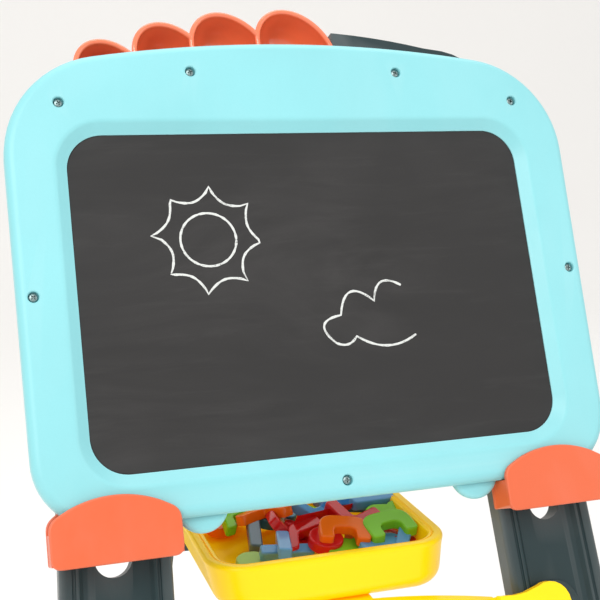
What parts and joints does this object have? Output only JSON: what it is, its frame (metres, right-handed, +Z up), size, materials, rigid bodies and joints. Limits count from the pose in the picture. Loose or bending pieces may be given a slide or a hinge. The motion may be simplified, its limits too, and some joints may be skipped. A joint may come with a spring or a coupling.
{
  "type": "kids easel",
  "caption": "Folding A-frame children's easel with a framed chalkboard clipped on two splayed legs, a scalloped cup rack on top and a pull-out letter bin between the frames.",
  "frame": {"origin": "on the floor, below the middle of the bounding box", "axes": "+Z up, +X to the right of a child who stands at the board, -Y towards that child"},
  "size_m": [0.4118, 0.5632, 0.8411],
  "materials": {
    "turquoise_plastic": "fine satin moulded plastic",
    "chalkboard": "matt chalkboard coating",
    "whiteboard": "gloss dry-wipe film",
    "sheet_steel": "plain sheet",
    "slate_plastic": "satin moulded plastic",
    "orange_plastic": "satin moulded plastic",
    "cup_plastic": "gloss moulded plastic",
    "yellow_plastic": "semi-gloss moulded plastic",
    "foot_rubber": "matt rubber",
    "screw_steel": "zinc-plated"
  },
  "bodies": {
    "front_frame": {"front_leg_left": "slate_plastic", "front_leg_right": "slate_plastic", "top_arch": "slate_plastic", "board_clip_left": "orange_plastic", "board_clip_right": "orange_plastic", "front_foot_left": "foot_rubber", "front_foot_right": "foot_rubber", "hinge_pin_left": "screw_steel", "hinge_pin_right": "screw_steel", "joint_screw_left": "screw_steel", "joint_screw_right": "screw_steel"},
    "board": {"board_frame_front": "turquoise_plastic", "board_frame_back": "turquoise_plastic", "chalk_panel": "chalkboard", "magnet_sheet": "sheet_steel", "white_panel": "whiteboard", "board_screw_1": "screw_steel", "board_screw_2": "screw_steel", "board_screw_3": "screw_steel", "board_screw_4": "screw_steel", "board_screw_5": "screw_steel", "board_screw_6": "screw_steel", "board_screw_7": "screw_steel", "board_screw_8": "screw_steel", "board_screw_9": "screw_steel"},
    "rear_frame": {"rear_leg_left": "slate_plastic", "rear_leg_right": "slate_plastic", "rear_top_bar": "slate_plastic", "rear_bin_crossbar": "slate_plastic", "rear_low_crossbar": "slate_plastic", "rear_foot_left": "foot_rubber", "rear_foot_right": "foot_rubber"},
    "rack": {"cup_rack": "cup_plastic"},
    "support": {"bin_support": "yellow_plastic"},
    "bin": {"letter_bin": "yellow_plastic"}
  },
  "joints": [
    {"name": "rear_fold", "type": "hinge", "parent": "front_frame", "child": "rear_frame", "pos_m": [0, 0.04007, 0.76256], "axis": [1, 0, 0], "range_deg": [-39.4, 0]},
    {"name": "support_pull", "type": "slide", "parent": "front_frame", "child": "support", "axis": [0, -1, 0], "range_m": [0, 0.3001]},
    {"name": "bin_pull", "type": "slide", "parent": "support", "child": "bin", "axis": [0, -1, 0], "range_m": [0, 0.2]},
    {"name": "board_lift", "type": "slide", "parent": "front_frame", "child": "board", "axis": [0, 0.3811, 0.9245], "range_m": [0, 0.06]},
    {"name": "rack_lift", "type": "slide", "parent": "front_frame", "child": "rack", "axis": [0, 0.3811, 0.9245], "range_m": [0, 0.03]}
  ],
  "couplings": [
    {"joint": "support_pull", "follows": "rear_fold", "m_per_rad": -0.43626}
  ]
}
